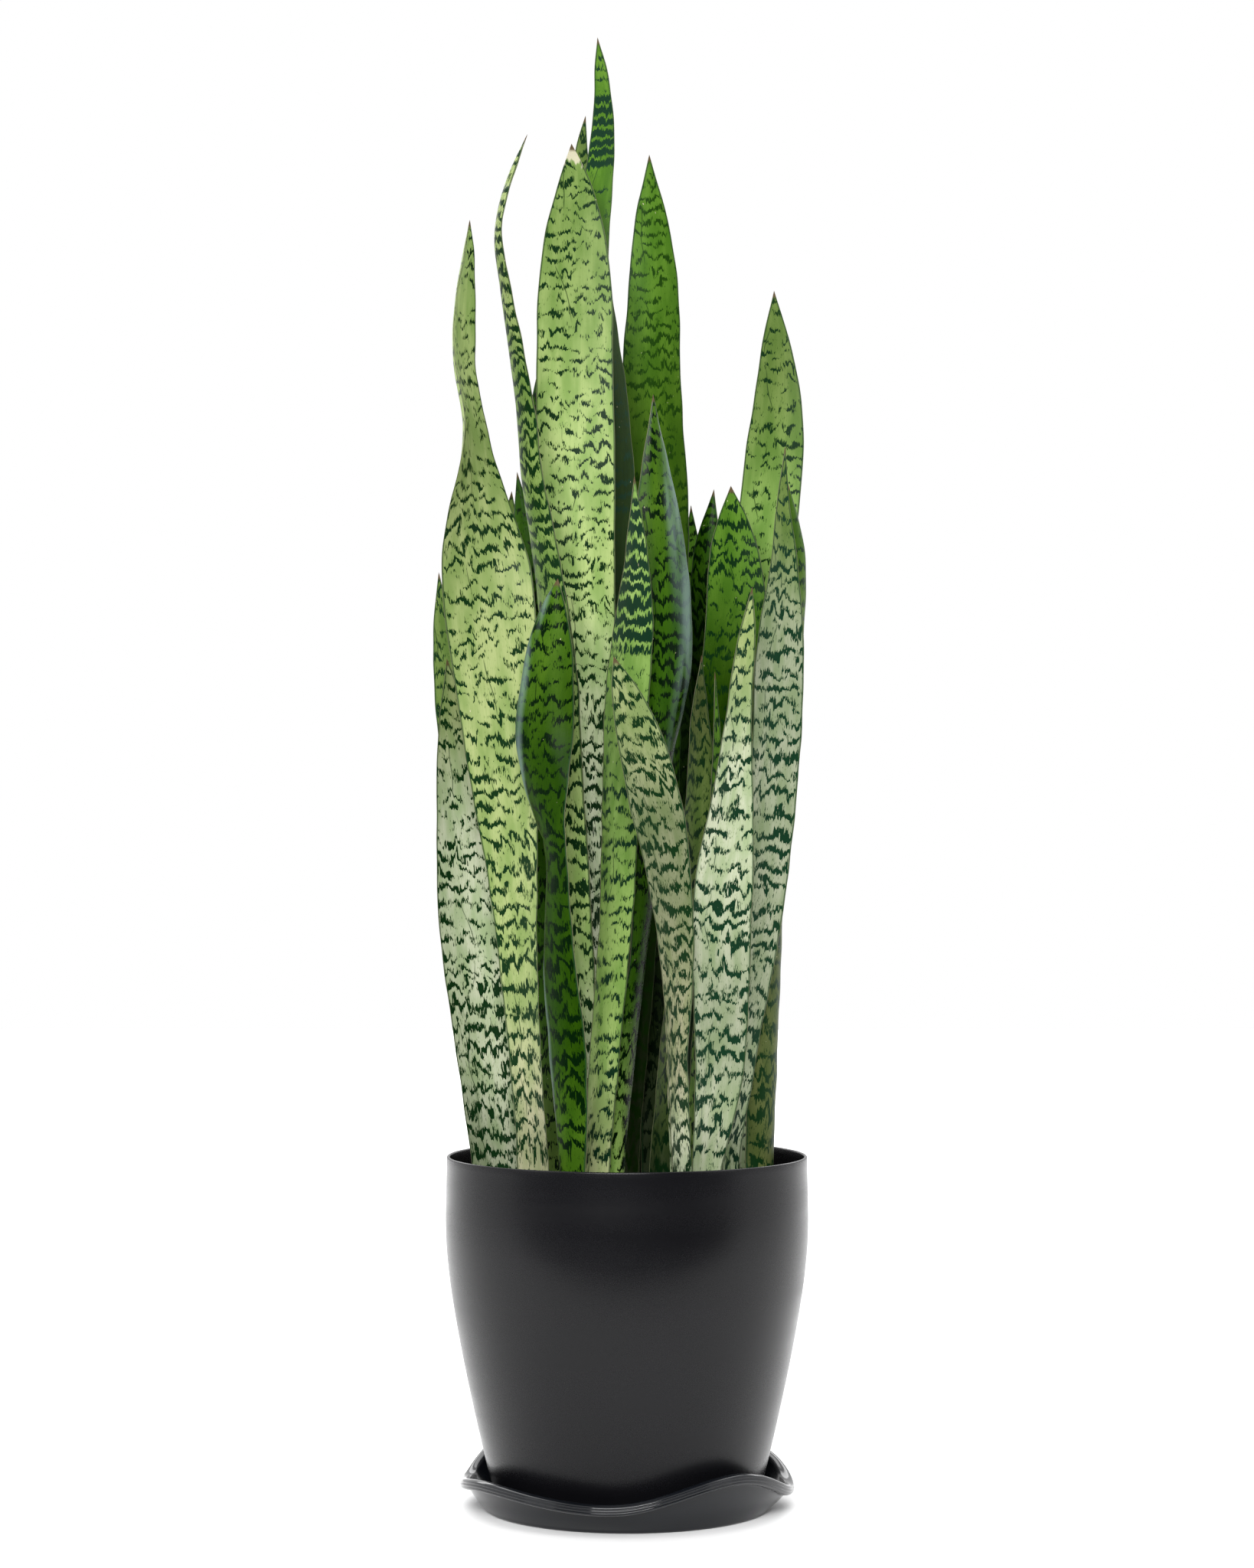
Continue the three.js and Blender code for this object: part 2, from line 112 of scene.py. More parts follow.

# Each leaf: its record slot, then its ground colours at the base, below the middle, above it and
# at the tip, the colour of its marks, how dense they are low down and high up, and its gloss. The
# darkest grounds, low on leaves deep in the clump, are painted shade, and the ivory ones carry
# painted light. zigzag scales how far the rows of marks swing, and rows how close they are. bars
# is a stretch, in millimetres below the tip, whose cross bands merge into solid ones;
# painted_reflection is a painted bluish reflection of a softbox along the left (-1) or right (1)
# margin, with its width in millimetres and its strength; dry_tip is how many millimetres of the
# tip are dry; sheen is how strongly the leaf reflects; nicks are bites out of a margin, as
# build_leaf takes them.
LEAVES = {
    "leaf_left_tall_twisted": dict(
        slot="leaf_pale", ground=(STRAW, MEADOW, MEADOW, PALE), mark=INK, density=(0.86, 0.46),
        nicks=[(-1, 755, 4.5, 9)]),
    "leaf_thin_twisting": dict(
        slot="leaf_pale", ground=(IVORY, PALE, SPRING, MEADOW), mark=INK, density=(0.85, 1.05)),
    "leaf_centre_broad": dict(
        slot="leaf_pale", ground=(IVORY, IVORY, PALE, SPRING), mark=INK, density=(0.95, 0.56),
        dry_tip=13),
    "leaf_back_split_tip": dict(
        slot="leaf_olive", ground=(GREY, OLIVE, OLIVE, OLIVE), mark=INK, density=(0.7, 0.7)),
    "leaf_tallest": dict(
        slot="leaf_bright", ground=(PAINTED_SHADE, PAINTED_SHADE, PAINTED_SHADE, GREEN), mark=BLUE_INK,
        density=(0.8, 0.2), bars=(42, 94), gloss=0.40, zigzag=0.35, rows=1.1),
    "leaf_right_tall_dark": dict(
        slot="leaf_dark", ground=(GREY_PAINTED_SHADE, PAINTED_SHADE, LEAFY, GREEN), mark=SOFT_INK,
        density=(1.0, 0.62), gloss=0.42),
    "leaf_right_back_spotted": dict(
        slot="leaf_dark", ground=(GREY_PAINTED_SHADE, PAINTED_SHADE, DEEP, DEEP), mark=BLACK_INK, density=(0.8, 0.8)),
    "leaf_centre_right_dark": dict(
        slot="leaf_dark", ground=(LIME, DEEP, DEEP, LEAFY), mark=BLACK_INK,
        # A bluish reflection of a softbox is painted along this leaf's right margin.
        density=(0.88, 0.76), gloss=0.32, painted_reflection=(1, 19, 0.62)),
    "leaf_front_banded": dict(
        slot="leaf_bright", ground=(BUTTER, LIME, FRESH, LIME), mark=BLUE_INK,
        density=(0.78, 0.62), bars=(16, 118), gloss=0.36, zigzag=0.5, rows=1.15),
    "leaf_front_left_broad": dict(
        slot="leaf_dark", ground=(LEAFY, BOTTLE, BOTTLE, LEAFY), mark=BLACK_INK,
        # A bluish reflection of a softbox is painted along this leaf's left margin.
        density=(0.95, 0.76), gloss=0.34, painted_reflection=(-1, 8, 0.42),
        sheen=0.03, nicks=[(-1, 470, 5.5, 5)]),
    "leaf_far_left_back": dict(
        slot="leaf_olive", ground=(GREY, OLIVE, OLIVE, OLIVE), mark=INK, density=(0.6, 0.75)),
    "leaf_far_left_low": dict(
        slot="leaf_grey", ground=(ASH, CREAM, CREAM, SAGE), mark=INK, density=(0.92, 0.60),
        rows=1.15),
    "leaf_front_folded": dict(
        slot="leaf_pale", ground=(IVORY, BUFF, DRAB, SAGE), mark=INK, density=(1.1, 0.88)),
    "leaf_back_left_outer": dict(
        slot="leaf_olive", ground=(GREY, OLIVE, OLIVE, OLIVE), mark=INK, density=(0.7, 0.7)),
    "leaf_back_left_inner": dict(
        slot="leaf_dark", ground=(OLIVE, DEEP, DEEP, DEEP), mark=BLACK_INK, density=(0.8, 0.7)),
    "leaf_back_centre": dict(
        slot="leaf_dark", ground=(OLIVE, DEEP, DEEP, DEEP), mark=BLACK_INK, density=(0.7, 0.7)),
    "leaf_right_tall_pale": dict(
        slot="leaf_pale", ground=(CREAM, SAGE, FRESH, OLIVE), mark=INK, density=(0.7, 0.45)),
    "leaf_right_grey": dict(
        slot="leaf_grey", ground=(GREY, ASH, ASH, OLIVE), mark=BLUE_INK, density=(0.95, 0.80)),
    "leaf_right_mid_broad": dict(
        slot="leaf_olive", ground=(PAINTED_SHADE, PAINTED_SHADE, BOTTLE, GREEN), mark=INK,
        density=(0.8, 0.70), gloss=0.36),
    "leaf_front_right_pale": dict(
        slot="leaf_grey", ground=(CREAM, ASH, CREAM, MEADOW), mark=BLUE_INK,
        density=(0.82, 0.75)),
    "leaf_back_right_inner": dict(
        slot="leaf_dark", ground=(OLIVE, PAINTED_SHADE, PAINTED_SHADE, GREEN), mark=BLACK_INK,
        density=(0.8, 0.8)),
    "leaf_back_right_outer": dict(
        slot="leaf_dark", ground=(OLIVE, PAINTED_SHADE, PAINTED_SHADE, DEEP), mark=BLACK_INK,
        density=(0.8, 0.95)),
    "leaf_inner_shaded": dict(
        slot="leaf_olive", ground=(GREY_PAINTED_SHADE, OLIVE, OLIVE, BROWNED), mark=INK, density=(0.85, 0.85)),
    "leaf_young_sliver": dict(
        slot="leaf_bright", ground=(FRESH, FRESH, GREEN, GREEN), mark=INK, density=(0.7, 0.7)),
    "leaf_far_right": dict(
        slot="leaf_olive", ground=(BROWNED, BROWNED, OLIVE, LEAFY), mark=INK,
        density=(0.95, 0.65)),
}


def level_rings(node):
    """The CAD leaf's level rings from the bottom up, as (height, corners in plan)."""
    corners = np.array([vertex.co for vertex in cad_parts[node].data.vertices])
    corners = np.unique(corners, axis=0)
    corners = corners[np.argsort(corners[:, 2])]
    breaks = np.nonzero(np.diff(corners[:, 2]) > LEVEL_TOLERANCE)[0] + 1
    return [(ring[:, 2].mean(), np.unique(ring[:, :2], axis=0))
            for ring in np.split(corners, breaks)]


def sections(node):
    """One row per CAD ring: height, middle of the chord in plan, chord, its angle, how far the
    middle of the leaf stands off the chord, and its thickness there."""
    rows = []
    towards = np.array([1.0, 0.0])
    for height, ring in level_rings(node):
        if len(ring) < 4:
            rows.append([height, *ring.mean(0), 0.0, rows[-1][4], 0.0, 0.0])
            continue
        spans = np.linalg.norm(ring[:, None] - ring[None], axis=2)
        left, right = np.unravel_index(spans.argmax(), spans.shape)
        along = (ring[right] - ring[left]) / spans[left, right]
        if along @ towards < 0:
            along = -along
        towards = along
        middle = (ring[left] + ring[right]) / 2
        across = (ring - middle) @ along
        depth = (ring - middle) @ np.array([-along[1], along[0]])
        central = depth[np.argsort(abs(across))[:2]]
        angle = math.atan2(along[1], along[0])
        if rows and abs(angle - rows[-1][4]) > math.pi:
            angle += math.copysign(2 * math.pi, rows[-1][4] - angle)
        rows.append([height, *middle, spans[left, right], angle, central.mean(), np.ptp(central)])
    return np.array(rows)


def smooth(at, known, values):
    """Values at given places on a smooth curve through known ones."""
    slopes = np.gradient(values, known, axis=0)
    i = np.clip(np.searchsorted(known, at, side="right") - 1, 0, len(known) - 2)
    gap = (known[i + 1] - known[i])[:, None]
    share = (at - known[i])[:, None] / gap
    return (
        (1 + 2 * share) * (1 - share) ** 2 * values[i]
        + share * (1 - share) ** 2 * gap * slopes[i]
        + share**2 * (3 - 2 * share) * values[i + 1]
        - share**2 * (1 - share) * gap * slopes[i + 1]
    )


def ripple(seed, lengths, at):
    """A gentle wave along a leaf between -1 and 1, different for each seed."""
    random = np.random.default_rng(seed)
    phases = random.uniform(0, 2 * math.pi, len(lengths))
    waves = [np.sin(2 * math.pi * at / length + phase) for length, phase in zip(lengths, phases)]
    return sum(waves) / len(waves)


def bridge(lower, upper, count):
    """Faces between two rings of points, each given by its first index."""
    return [(lower + j, lower + (j + 1) % count, upper + (j + 1) % count, upper + j)
            for j in range(count)]


def build_leaf(node, seed, nicks=()):
    """nicks are bites out of a margin, each with its side, -1 for left or 1 for right, and in
    millimetres how far up it is, how deep, and how far it spreads up and down."""
    known = sections(node)
    low, high = known[0, 0], known[-1, 0]
    heights = np.append(
        np.arange(low, high - TIP_REACH, STATION_STEP),
        np.arange(high - TIP_REACH, high - LAST_STATION_TO_TIP, TIP_STATION_STEP))
    rows = smooth(heights, known[:, 0], known[:, 1:])
    middle = rows[:, :2]
    width, angle, crown, thickness = rows[:, 2:].T
    left_to_tip = high - heights
    awn = np.clip(left_to_tip / AWN_LENGTH, 0, 1)
    width = np.maximum(width, AWN_WIDTH * np.sqrt(awn))
    thickness = np.clip(thickness, LEAST_THICKNESS * np.sqrt(awn), None)
    fullness = np.clip(width / FULL_WAVE_WIDTH, 0, 1)
    travel = np.linalg.norm(np.diff(np.column_stack([middle, heights]), axis=0), axis=1)
    length = np.append(0, np.cumsum(travel))

    turn = np.linspace(0, 2 * math.pi, SECTION_POINTS, endpoint=False)
    across = -np.cos(turn)
    face = -np.sin(turn)
    half = width / 2 + OUTLINE_WAVE * fullness * ripple(seed, (0.11, 0.047), length)
    half = half + BASE_SWELL * np.clip(1 - (heights - low) / BASE_REACH, 0, 1)
    sides = {side: half.copy() for side in (-1, 1)}
    for side, up, bite, spread in nicks:
        sides[side] -= bite * MM * np.exp(-np.abs(heights - up * MM) / (spread * MM))
    edge_wave = [MARGIN_WAVE * fullness * ripple(seed + side, (0.13, 0.06, 0.031), length)
                 for side in (1, 2)]
    points, places, rims = [], [], []
    for i, height in enumerate(heights):
        chord = np.array([math.cos(angle[i]), math.sin(angle[i])])
        normal = np.array([-chord[1], chord[0]])
        body = (1 - 0.4 * across**2) * thickness[i] / 2
        margin = min(MARGIN_THICKNESS, thickness[i]) / 2
        skin = np.maximum(body * (1 - across**8), margin) * np.abs(face) ** 0.6 * np.sign(face)
        wave = np.where(across < 0, edge_wave[0][i], edge_wave[1][i]) * np.abs(across) ** 3
        depth = crown[i] * (1 - across**2) + skin + wave
        reach = across * np.where(across < 0, sides[-1][i], sides[1][i])
        plan = middle[i] + np.outer(reach, chord) + np.outer(depth, normal)
        points.append(np.column_stack([plan, np.full(SECTION_POINTS, height)]))
        places.append(np.column_stack([
            across * half[i] / MM,
            np.full(SECTION_POINTS, length[i] / MM),
            np.full(SECTION_POINTS, (height - low) / (high - low)),
        ]))
        rims.append(np.column_stack([
            (1 - np.abs(across)) * half[i] / MM,
            np.sign(face + 1e-9),
            np.full(SECTION_POINTS, left_to_tip[i] / MM),
        ]))
    last = (len(heights) - 1) * SECTION_POINTS
    tip = last + SECTION_POINTS
    faces = []
    for start in range(0, last, SECTION_POINTS):
        faces += bridge(start, start + SECTION_POINTS, SECTION_POINTS)
    faces.append(tuple(reversed(range(SECTION_POINTS))))
    faces += [(last + j, last + (j + 1) % SECTION_POINTS, tip) for j in range(SECTION_POINTS)]
    vertices = np.vstack([*points, [[*known[-1, 1:3], high]]])
    place = np.vstack([*places, [[0, length[-1] / MM, 1]]])
    rim = np.vstack([*rims, [[0, 1, 0]]])
    return add_mesh(node + "_skin", vertices, faces, leaf_place=place, leaf_rim=rim)


def add_mesh(name, vertices, faces, **attributes):
    """A smooth-shaded mesh object, with a vector attribute for each array given by name."""
    mesh = bpy.data.meshes.new(name)
    mesh.from_pydata([tuple(map(float, v)) for v in vertices], [], faces)
    for label, values in attributes.items():
        layer = mesh.attributes.new(label, "FLOAT_VECTOR", "POINT")
        layer.data.foreach_set("vector", np.asarray(values, np.float32).ravel())
    mesh.shade_smooth()
    mesh.validate()
    piece = bpy.data.objects.new(name, mesh)
    bpy.context.scene.collection.objects.link(piece)
    return piece


# Materials ------------------------------------------------------------------------------------


class Nodes:
    """A node tree, written as short expressions."""

    def __init__(self, tree):
        self.tree = tree

    def node(self, kind, **settings):
        made = self.tree.nodes.new("ShaderNode" + kind)
        for key, value in settings.items():
            setattr(made, key, value)
        return made

    def feed(self, socket, value):
        if isinstance(value, bpy.types.NodeSocket):
            self.tree.links.new(value, socket)
        elif isinstance(value, (tuple, list)) and len(socket.default_value) == 4:
            socket.default_value = (*value[:3], 1)
        else:
            socket.default_value = value

    def math(self, operation, *values, clamp=False):
        made = self.node("Math", operation=operation, use_clamp=clamp)
        for socket, value in zip(made.inputs, values):
            self.feed(socket, value)
        return made.outputs[0]

    def add(self, a, b):
        return self.math("ADD", a, b)

    def scale(self, a, b):
        return self.math("MULTIPLY", a, b)

    def attribute(self, name):
        return self.split(self.node("Attribute", attribute_name=name).outputs["Vector"])

    def split(self, vector):
        made = self.node("SeparateXYZ")
        self.feed(made.inputs[0], vector)
        return made.outputs

    def vector(self, x, y, z):
        made = self.node("CombineXYZ")
        for socket, value in zip(made.inputs, (x, y, z)):
            self.feed(socket, value)
        return made.outputs[0]

    def noise(self, vector, scale=1.0, detail=2.0, roughness=0.5):
        made = self.node("TexNoise")
        self.feed(made.inputs["Vector"], vector)
        self.feed(made.inputs["Scale"], scale)
        self.feed(made.inputs["Detail"], detail)
        self.feed(made.inputs["Roughness"], roughness)
        return made.outputs["Fac"]

    def ramp(self, value, low, high):
        """0 below low and 1 above high, eased between."""
        made = self.node("MapRange", interpolation_type="SMOOTHSTEP")
        for name, given in (("Value", value), ("From Min", low), ("From Max", high)):
            self.feed(made.inputs[name], given)
        return made.outputs[0]

    def mixed(self, made, kind, share, first, second):
        """Feeds a Mix node, which names its sockets by the kind of value it mixes."""
        inputs = {socket.identifier: socket for socket in made.inputs}
        outputs = {socket.identifier: socket for socket in made.outputs}
        self.feed(inputs["Factor_Float"], share)
        self.feed(inputs["A_" + kind], first)
        self.feed(inputs["B_" + kind], second)
        return outputs["Result_" + kind]

    def mix(self, share, first, second, blend="MIX"):
        made = self.node("Mix", data_type="RGBA", blend_type=blend)
        return self.mixed(made, "Color", share, first, second)

    def mix_value(self, share, first, second):
        return self.mixed(self.node("Mix", data_type="FLOAT"), "Float", share, first, second)

    def centred(self, value, gain):
        """A value around a half, moved to lie around 0 and multiplied."""
        return self.scale(self.add(value, -0.5), gain)

    def bump(self, height, strength, distance, under=None):
        made = self.node("Bump")
        self.feed(made.inputs["Strength"], strength)
        self.feed(made.inputs["Distance"], distance)
        self.feed(made.inputs["Height"], height)
        if under is not None:
            self.feed(made.inputs["Normal"], under)
        return made.outputs[0]


class Shader(Nodes):
    """A material's node tree."""

    def __init__(self, name):
        self.material = bpy.data.materials.new(name)
        self.material.use_nodes = True
        super().__init__(self.material.node_tree)

    def finish(self, **sockets):
        principled = self.tree.nodes["Principled BSDF"]
        for name, value in sockets.items():
            self.feed(principled.inputs[name.replace("_", " ")], value)
        return self.material


# Rows of marks for each millimetre up the leaf at its base, and how fast they get closer.
ROWS_AT_BASE = 0.056
ROWS_CLOSING_UP = 3.6e-5
# In millimetres: what shifts a mark by one row, how wide a zigzag is, and how far down one swings.
ROW_SPACING = 12
ZIGZAG_WIDTH = 13
ZIGZAG_SWING = -42.0


class LeafShader(Shader):
    """A leaf's material. Places on it are in millimetres: across from its middle line, along it
    from the base, edge in from the nearer margin, and to_tip. share goes from 0 at the base to 1
    at the tip."""

    def __init__(self, node, look, seed):
        super().__init__(node + "_green")
        self.look = look
        self.across, self.along, self.share = self.attribute("leaf_place")
        self.edge, face, self.to_tip = self.attribute("leaf_rim")
        self.layer = self.add(self.scale(face, 3.7), seed * 11.3)

    def field(self, across_mm, along_mm, shift, detail=1.0):
        """Noise stretched to a size across and along the leaf; each shift has its own."""
        place = self.vector(
            self.scale(self.across, 1 / across_mm), self.scale(self.along, 1 / along_mm),
            self.add(self.layer, shift))
        return self.noise(place, detail=detail)

    def sway(self, gain, *field):
        return self.centred(self.field(*field), gain)

    def patches(self, low, high, *field, detail=1.0):
        return self.ramp(self.field(*field, detail=detail), low, high)

    def row_rise(self):
        """How far above its row's line a point is, from 0 to 1 at the next row. The rows zigzag
        into V and W shapes."""
        warp = self.sway(2.2, 17, 22, 0.0)
        turns = self.add(self.scale(self.across, 1 / ZIGZAG_WIDTH), warp)
        zigzag = self.math("PINGPONG", turns, 0.5)
        swing = self.scale(self.add(self.field(24, 30, 3.0), -0.18),
                           ZIGZAG_SWING * self.look.get("zigzag", 1.0))
        kinks = self.sway(6.0, 3.0, 12, 5.0)
        strands = self.sway(9.5, 1.0, 8, 9.0)
        drift = self.sway(22.0, 120, 45, 13.0)
        shift = self.add(self.add(self.scale(zigzag, swing), self.add(kinks, strands)), drift)
        closeness = self.add(self.scale(self.along, ROWS_CLOSING_UP), ROWS_AT_BASE)
        rows = self.add(self.scale(self.along, closeness), self.scale(shift, 1 / ROW_SPACING))
        return self.math("FRACT", self.scale(rows, self.look.get("rows", 1)))

    def mark_score(self):
        """Above 0 within a mark: cross bands that are crisp below and fringed above."""
        rise = self.row_rise()
        crisp = self.ramp(rise, 0.0, 0.10)
        fringe = self.math("SUBTRACT", 1.0, self.scale(rise, 1.6), clamp=True)
        band = self.scale(crisp, fringe)
        density = self.mix_value(self.ramp(self.share, 0.25, 0.75), *self.look["density"])
        presence = self.add(self.sway(3.5, 8.5, 7, 21.0), self.sway(2.1, 26, 34, 27.0))
        presence = self.add(presence, density)
        strokes = self.add(self.sway(2.3, 0.5, 3.0, 33.0), self.sway(0.9, 1.5, 5, 35.0))
        dust = self.scale(self.ramp(density, 0.6, 1.15), 0.30)
        score = self.add(self.scale(self.scale(band, presence), 2.1), strokes)
        score = self.add(score, self.add(dust, -0.64))
        if "bars" in self.look:
            start, end = self.look["bars"]
            within = self.scale(self.ramp(self.to_tip, start - 6, start + 4),
                                self.ramp(self.to_tip, end + 8, end - 8))
            bar = self.scale(self.ramp(rise, 0.0, 0.12), self.ramp(rise, 0.86, 0.62))
            bar = self.add(self.scale(bar, 1.3), self.scale(strokes, 0.4))
            bar = self.add(bar, self.sway(1.6, 14, 8, 21.0))
            score = self.mix_value(within, score, self.add(bar, -0.55))
        return score

    def tissue(self, score):
        """The ground colour up the leaf (painted shade low on some), mottled, veined, and darker
        close to the marks.
        """
        base, low, high, tip = self.look["ground"]
        ground = self.mix(self.ramp(self.share, 0.08, 0.30), base, low)
        ground = self.mix(self.ramp(self.share, 0.35, 0.62), ground, high)
        ground = self.mix(self.ramp(self.share, 0.70, 0.93), ground, tip)
        lighter = self.mix(1.0, ground, LIGHTER, blend="MULTIPLY")
        darker = self.mix(1.0, ground, DARKER, blend="MULTIPLY")
        ground = self.mix(self.patches(0.3, 0.7, 10, 38, 53.0, detail=2.0), darker, lighter)
        veins = self.patches(0.4, 0.7, 0.8, 110, 59.0, detail=3.0)
        ground = self.mix(self.scale(veins, 0.3), ground, darker)
        return self.mix(self.scale(self.ramp(score, -0.5, 0.05), 0.5), ground, darker)

    def thread(self):
        """A long thin thread that runs up the leaf here and there."""
        line = self.add(self.across, self.sway(34.0, 400, 60, 41.0))
        line = self.ramp(self.math("ABSOLUTE", self.add(line, 7.0)), 0.5, 0.2)
        return self.scale(line, self.patches(0.47, 0.56, 500, 40, 47.0))

    def dry_parts(self, colour):
        """The margin, a dark green line inside a dry hairline edge; then the dry tip and awn."""
        green_line = self.scale(self.ramp(self.edge, 1.5, 0.8), 0.8)
        colour = self.mix(green_line, colour, MARGIN_GREEN)
        hairline = self.scale(self.ramp(self.edge, 0.4, 0.15), 0.6)
        colour = self.mix(hairline, colour, DRY_EDGE)
        if "dry_tip" in self.look:
            reach = self.add(self.sway(16.0, 3, 9, 67.0), self.look["dry_tip"])
            dry = self.ramp(self.math("SUBTRACT", self.to_tip, reach), 1.5, -1.5)
            colour = self.mix(self.scale(dry, 0.85), colour, DRY_TISSUE)
        colour = self.mix(self.ramp(self.to_tip, 6.5, 3.5), colour, DRY_AWN)
        return self.mix(self.patches(0.80, 0.83, 1.3, 3.6, 73.0), colour, SCAR)

    # Paints a bluish reflection of a softbox into the colour along one margin: a painted
    # reflection.
    def with_painted_reflection(self, colour):
        side, width, strength = self.look["painted_reflection"]
        painted_reflection = self.scale(self.ramp(self.scale(self.across, side), 1.0, 6.0),
                           self.ramp(self.edge, width, 2.0))
        painted_reflection = self.scale(painted_reflection, self.patches(0.32, 0.62, 9, 90, 79.0))
        return self.mix(self.scale(painted_reflection, strength), colour, PAINTED_REFLECTION_TINT)

    def painted(self):
        ink = self.look["mark"]
        score = self.mark_score()
        mark = self.ramp(score, -0.02, 0.08)
        core = self.ramp(score, 0.0, 0.24)
        ground = self.tissue(score)
        soft = self.mix(0.72, ground, ink)
        colour = self.mix(mark, ground, self.mix(core, soft, ink))
        colour = self.mix(self.scale(self.thread(), 0.75), colour, ink)
        colour = self.dry_parts(colour)
        # A painted bluish reflection along one margin, on the leaves that have one.
        if "painted_reflection" in self.look:
            colour = self.with_painted_reflection(colour)

        fine = self.field(0.5, 60, 61.0, detail=3.0)
        grain = self.field(1.3, 2.0, 71.0, detail=3.0)
        gloss = self.add(self.centred(grain, 0.14), self.look.get("gloss", 0.44))
        gloss = self.add(gloss, self.scale(mark, -0.05))
        normal = self.bump(fine, 0.30, 0.25 * MM)
        normal = self.bump(grain, 0.22, 0.2 * MM, under=normal)
        return self.finish(Base_Color=colour, Roughness=gloss, Normal=normal,
                           Specular_IOR_Level=self.look.get("sheen", 0.08))


# The pot, the saucer and the potting mix -------------------------------------------------------

ROUND = 256
FLAT_STEP_MM = 10
POT_STEP = 5 * MM
POT_FOOT_ROUNDING = 2 * MM
POT_FLOOR_ROUNDING = 4 * MM
# Corners of the CAD pot nearer the axis than this are its base's.
LEAST_WALL_RADIUS = 80 * MM


def pot_wall(outward):
    """(radius, height) of the corners on the CAD pot's outer or inner side, going up."""
    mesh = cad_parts["pot"].data
    found = set()
    for polygon in mesh.polygons:
        centre, normal = polygon.center, polygon.normal
        if abs(normal.z) > 0.95 or (normal.x * centre.x + normal.y * centre.y > 0) != outward:
            continue
        for index in polygon.vertices:
            corner = mesh.vertices[index].co
            found.add((round(corner.z, 5), round(math.hypot(corner.x, corner.y), 5)))
    return [(radius, height) for height, radius in sorted(found) if radius > LEAST_WALL_RADIUS]


def lathe(profile, height_at=None):
    """The points and faces of a closed profile of (radius, height) turned round Z, from the axis
    below to the axis above. height_at(index, angle), where given, sets the heights instead."""
    angles = np.linspace(0, 2 * math.pi, ROUND, endpoint=False)
    points, faces = [], []
    for i, (radius, height) in enumerate(profile[1:-1], start=1):
        for angle in angles:
            z = height_at(i, angle) if height_at else height
            points.append((radius * math.sin(angle), -radius * math.cos(angle), z))
    bottom, top = len(points), len(points) + 1
    last = bottom - ROUND
    for start in range(0, last, ROUND):
        faces += bridge(start, start + ROUND, ROUND)
    points += [(0, 0, profile[0][1]), (0, 0, profile[-1][1])]
    for j in range(ROUND):
        k = (j + 1) % ROUND
        faces.append((k, j, bottom))
        faces.append((last + j, last + k, top))
    return points, faces


def arc(centre, radius, start, end, steps):
    """Points of a circle in the profile's plane, with angles in degrees."""
    turns = np.radians(np.linspace(start, end, steps + 1))
    return [(centre[0] + radius * math.cos(t), centre[1] + radius * math.sin(t)) for t in turns]


def finer(wall):
    """A smooth finer course through wall points that go up."""
    known = np.array(wall)
    low, high = known[0, 1], known[-1, 1]
    at = np.linspace(low, high, math.ceil((high - low) / POT_STEP) + 1)
    return [(float(r), float(z)) for (r,), z in zip(smooth(at, known[:, 1], known[:, :1]), at)]


def flat_radii(limit):
    """Even steps outwards across a flat disc, short of its edge."""
    return [radius * MM for radius in range(FLAT_STEP_MM, int(limit / MM), FLAT_STEP_MM)]


def build_pot():
    outside, inside = finer(pot_wall(outward=True)), finer(pot_wall(outward=False))
    (foot, bottom), (rim_radius, rim) = outside[0], outside[-1]
    floor_radius, floor_height = inside[0]
    wall = rim_radius - inside[-1][0]
    turn_out = arc((foot - POT_FOOT_ROUNDING, bottom + POT_FOOT_ROUNDING), POT_FOOT_ROUNDING,
                   -90, 0, 6)
    lip = arc((rim_radius - wall / 2, rim - wall / 2), wall / 2, 0, 180, 10)
    turn_in = arc((floor_radius - POT_FLOOR_ROUNDING, floor_height + POT_FLOOR_ROUNDING),
                  POT_FLOOR_ROUNDING, 0, -90, 6)
    profile = [(0, bottom)]
    profile += [(radius, bottom) for radius in flat_radii(foot - POT_FOOT_ROUNDING)]
    profile += turn_out[1:-1]
    profile += [p for p in outside if turn_out[-1][1] < p[1] < lip[0][1]]
    profile += lip
    profile += [p for p in reversed(inside) if turn_in[0][1] < p[1] < lip[-1][1]]
    profile += turn_in[1:]
    profile += [(radius, floor_height)
                for radius in reversed(flat_radii(floor_radius - POT_FLOOR_ROUNDING))]
    profile += [(0, floor_height)]
    points, faces = lathe(profile)
    pot = add_mesh("nursery_pot", points, faces)
    cut_drain_holes(pot, bottom, floor_height)
    return pot


# The drain holes, and the radii between which their edges are in the CAD pot's base.
DRAIN_HOLES = 8
DRAIN_HOLE_SIDES = 48
DRAIN_ZONE = (40 * MM, 76 * MM)


